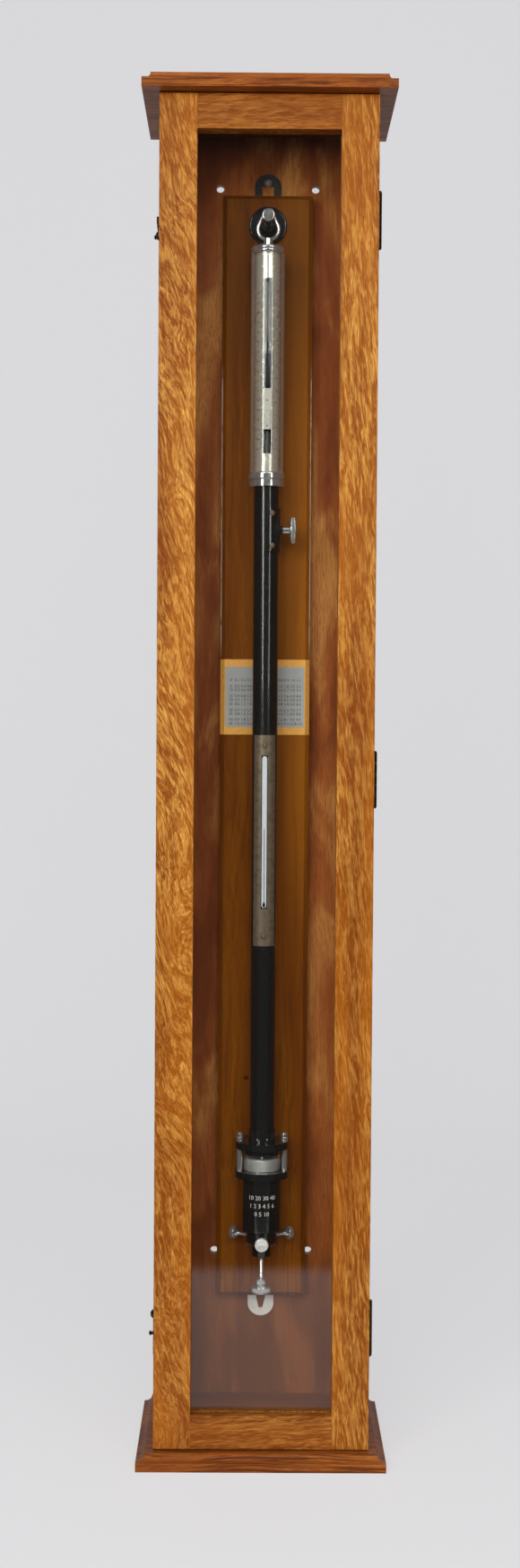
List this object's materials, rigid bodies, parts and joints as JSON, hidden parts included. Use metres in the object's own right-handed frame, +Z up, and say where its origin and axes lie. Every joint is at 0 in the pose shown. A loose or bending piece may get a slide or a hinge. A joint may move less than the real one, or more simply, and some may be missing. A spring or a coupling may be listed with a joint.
{
  "type": "cased cistern barometer",
  "caption": "Mercury stick barometer with a screw-adjusted glass cistern and rack-driven vernier, hung on a bevelled board in a tall oak case with a glazed hinged door.",
  "frame": {"origin": "under the middle of the plinth, on the surface that the case stands on", "axes": "+X to the right of someone facing the door, +Y to the wall behind the case, +Z up"},
  "size_m": [0.252, 0.184, 1.391],
  "materials": {
    "oak": "varnished quarter-sawn oak",
    "dark_oak": "stained oak, satin",
    "varnished_board": "varnished hardwood",
    "hinge_iron": "dark bronzed steel",
    "black_lacquer": "black lacquered brass",
    "nickel": "nickel-plated brass",
    "silvered_brass": "silvered and lacquered brass",
    "brass": "bright cut brass",
    "clear_glass": "clear glass",
    "mercury": "liquid metal",
    "amber_label": "varnished amber sheet",
    "grey_card": "printed card",
    "cork": "cork and boxwood",
    "ivory": "polished ivory colour",
    "leather": "soft kid leather"
  },
  "bodies": {
    "case": {"plinth": "oak", "case_floor": "dark_oak", "side_left": "oak", "side_right": "oak", "cap": "oak", "back_panel": "dark_oak", "hinge_case_leaves": "hinge_iron", "hinge_pins": "hinge_iron", "hook_pivot_screws": "hinge_iron", "mounting_board": "varnished_board", "upper_hanger": "black_lacquer", "lower_hanger": "nickel", "hanging_screw": "hinge_iron", "label": "amber_label", "label_card": "grey_card", "rosette": "black_lacquer", "bracket_arm": "nickel", "suspension_ring": "nickel", "centring_bracket": "black_lacquer"},
    "door": {"door_stile_left": "oak", "door_stile_right": "oak", "door_rail_top": "oak", "door_rail_bottom": "oak", "door_glass": "clear_glass", "glazing_beads": "oak", "hinge_door_leaves": "hinge_iron", "catch_pins": "hinge_iron"},
    "upper_hook_body": {"upper_hook": "hinge_iron"},
    "lower_hook_body": {"lower_hook": "hinge_iron"},
    "barometer": {"top_cap": "nickel", "glass_shroud": "clear_glass", "scale_tube": "silvered_brass", "lower_collar": "nickel", "body_tube": "black_lacquer", "barometer_tube": "clear_glass", "mercury_column": "mercury", "tube_packing": "cork", "pinion_housing": "black_lacquer", "tube_screws": "hinge_iron", "thermometer_plate": "silvered_brass", "thermometer": "clear_glass", "cistern_top_flange": "black_lacquer", "cistern_glass": "clear_glass", "cistern_pillars": "nickel", "cistern_bottom_flange": "black_lacquer", "cistern_cup": "black_lacquer", "cistern_mercury": "mercury", "ivory_pointer": "ivory", "leather_bag": "leather"},
    "vernier": {"vernier_sleeve": "black_lacquer", "vernier_plate": "silvered_brass", "vernier_rack": "brass"},
    "vernier_drive": {"vernier_pinion": "brass", "vernier_knob": "nickel"},
    "bag_lift": {"bag_button": "cork"},
    "level_screw": {"adjusting_screw": "nickel"},
    "front_centring_screw": {"centring_screw_front": "nickel"},
    "left_centring_screw": {"centring_screw_left": "nickel"},
    "right_centring_screw": {"centring_screw_right": "nickel"}
  },
  "joints": [
    {"name": "door_swing", "type": "hinge", "parent": "case", "child": "door", "pos_m": [0.11, -0.0525, 0.6955], "axis": [0, 0, 1], "range_deg": [0, 170]},
    {"name": "upper_hook_turn", "type": "hinge", "parent": "case", "child": "upper_hook_body", "pos_m": [-0.1103, -0.03, 1.244], "axis": [1, 0, 0], "range_deg": [-261.8, 24]},
    {"name": "lower_hook_turn", "type": "hinge", "parent": "case", "child": "lower_hook_body", "pos_m": [-0.1103, -0.03, 0.142], "axis": [1, 0, 0], "range_deg": [0, 285.8]},
    {"name": "barometer_swivel", "type": "hinge", "parent": "case", "child": "barometer", "pos_m": [0, 0.017, 1.24], "axis": [0, 0, 1], "continuous": true},
    {"name": "vernier_slide", "type": "slide", "parent": "barometer", "child": "vernier", "axis": [0, 0, 1], "range_m": [-0.024, 0.06]},
    {"name": "vernier_turn", "type": "hinge", "parent": "barometer", "child": "vernier_drive", "pos_m": [0.017, 0.017, 0.95215], "axis": [1, 0, 0], "range_deg": [-344, 860]},
    {"name": "bag_slide", "type": "slide", "parent": "barometer", "child": "bag_lift", "axis": [0, 0, 1], "range_m": [-0.008, 0.014], "deforming": ["leather_bag", "cistern_mercury"]},
    {"name": "level_screw_turn", "type": "hinge", "parent": "bag_lift", "child": "level_screw", "pos_m": [0, 0.017, 0.2], "axis": [0, 0, 1], "range_deg": [-2305, 4033]},
    {"name": "front_centring_turn", "type": "hinge", "parent": "case", "child": "front_centring_screw", "pos_m": [0, -0.003, 0.21035], "axis": [0, -1, 0], "range_deg": [0, 720]},
    {"name": "left_centring_turn", "type": "hinge", "parent": "case", "child": "left_centring_screw", "pos_m": [-0.01732, 0.027, 0.21035], "axis": [-0.866, 0.5, 0], "range_deg": [0, 720]},
    {"name": "right_centring_turn", "type": "hinge", "parent": "case", "child": "right_centring_screw", "pos_m": [0.01732, 0.027, 0.21035], "axis": [0.866, 0.5, 0], "range_deg": [0, 720]}
  ],
  "couplings": [
    {"joint": "vernier_turn", "follows": "vernier_slide", "rad_per_m": 250},
    {"joint": "level_screw_turn", "follows": "bag_slide", "rad_per_m": 5026.5}
  ]
}
